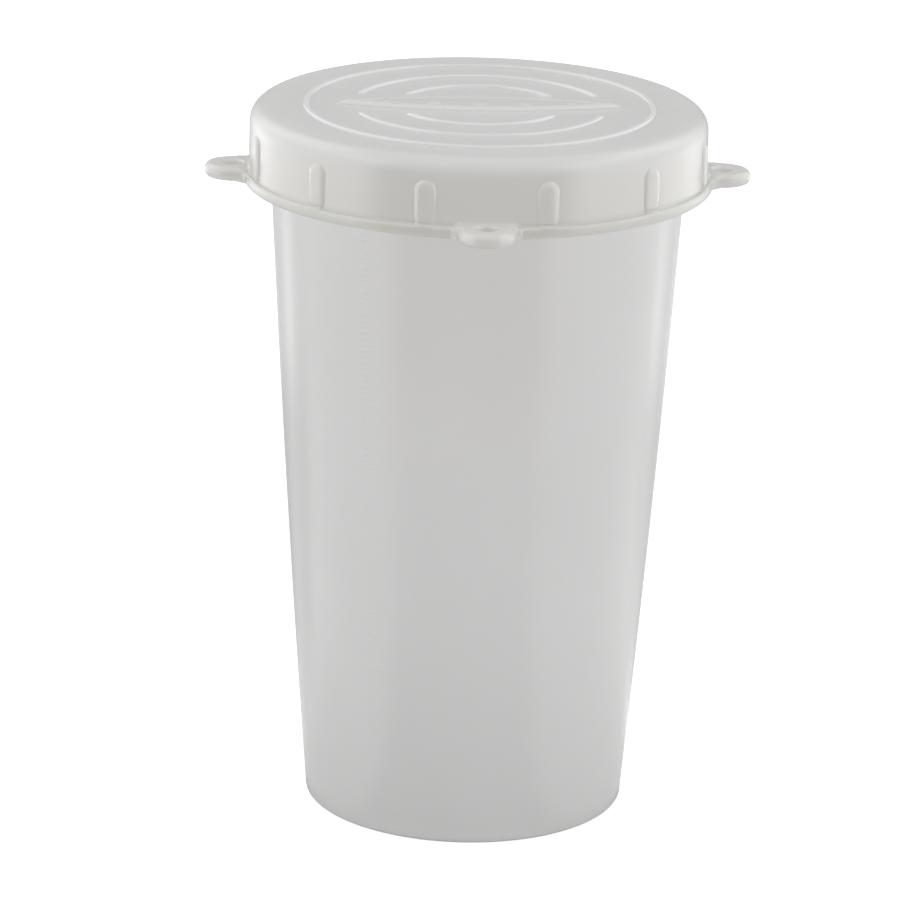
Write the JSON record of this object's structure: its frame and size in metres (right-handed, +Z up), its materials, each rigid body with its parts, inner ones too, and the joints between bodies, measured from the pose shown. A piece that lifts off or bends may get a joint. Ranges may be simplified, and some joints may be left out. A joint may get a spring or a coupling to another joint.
{
  "type": "screw-lid cheese mold",
  "caption": "Tapered translucent plastic beaker mold with a measuring scale and a screw lid that has finger ears, grip ribs and a sealing ring inside.",
  "frame": {"origin": "middle of the cup's base, on the surface that it stands on", "axes": "+Z up through the lid, -Y towards the front ear, +X towards the right ear"},
  "size_m": [0.1314, 0.1314, 0.1756],
  "materials": {
    "cup_plastic": "translucent milky white, smooth moulded, satin gloss",
    "lid_plastic": "milky white, smooth moulded, satin gloss",
    "seal": "matt off-white"
  },
  "bodies": {
    "cup_body": {"cup": "cup_plastic"},
    "lift_body": {"lid_gasket": "seal"},
    "lid_body": {"lid": "lid_plastic"}
  },
  "joints": [
    {"name": "lid_lift", "type": "slide", "parent": "cup_body", "child": "lift_body", "axis": [0, 0, 1], "range_m": [0, 0.0561]},
    {"name": "lid_turn", "type": "hinge", "parent": "lift_body", "child": "lid_body", "pos_m": [0, 0, 0.1724], "axis": [0, 0, 1], "range_deg": [0, 1440]}
  ],
  "couplings": [
    {"joint": "lid_lift", "follows": "lid_turn", "m_per_rad": 0.0022282}
  ]
}
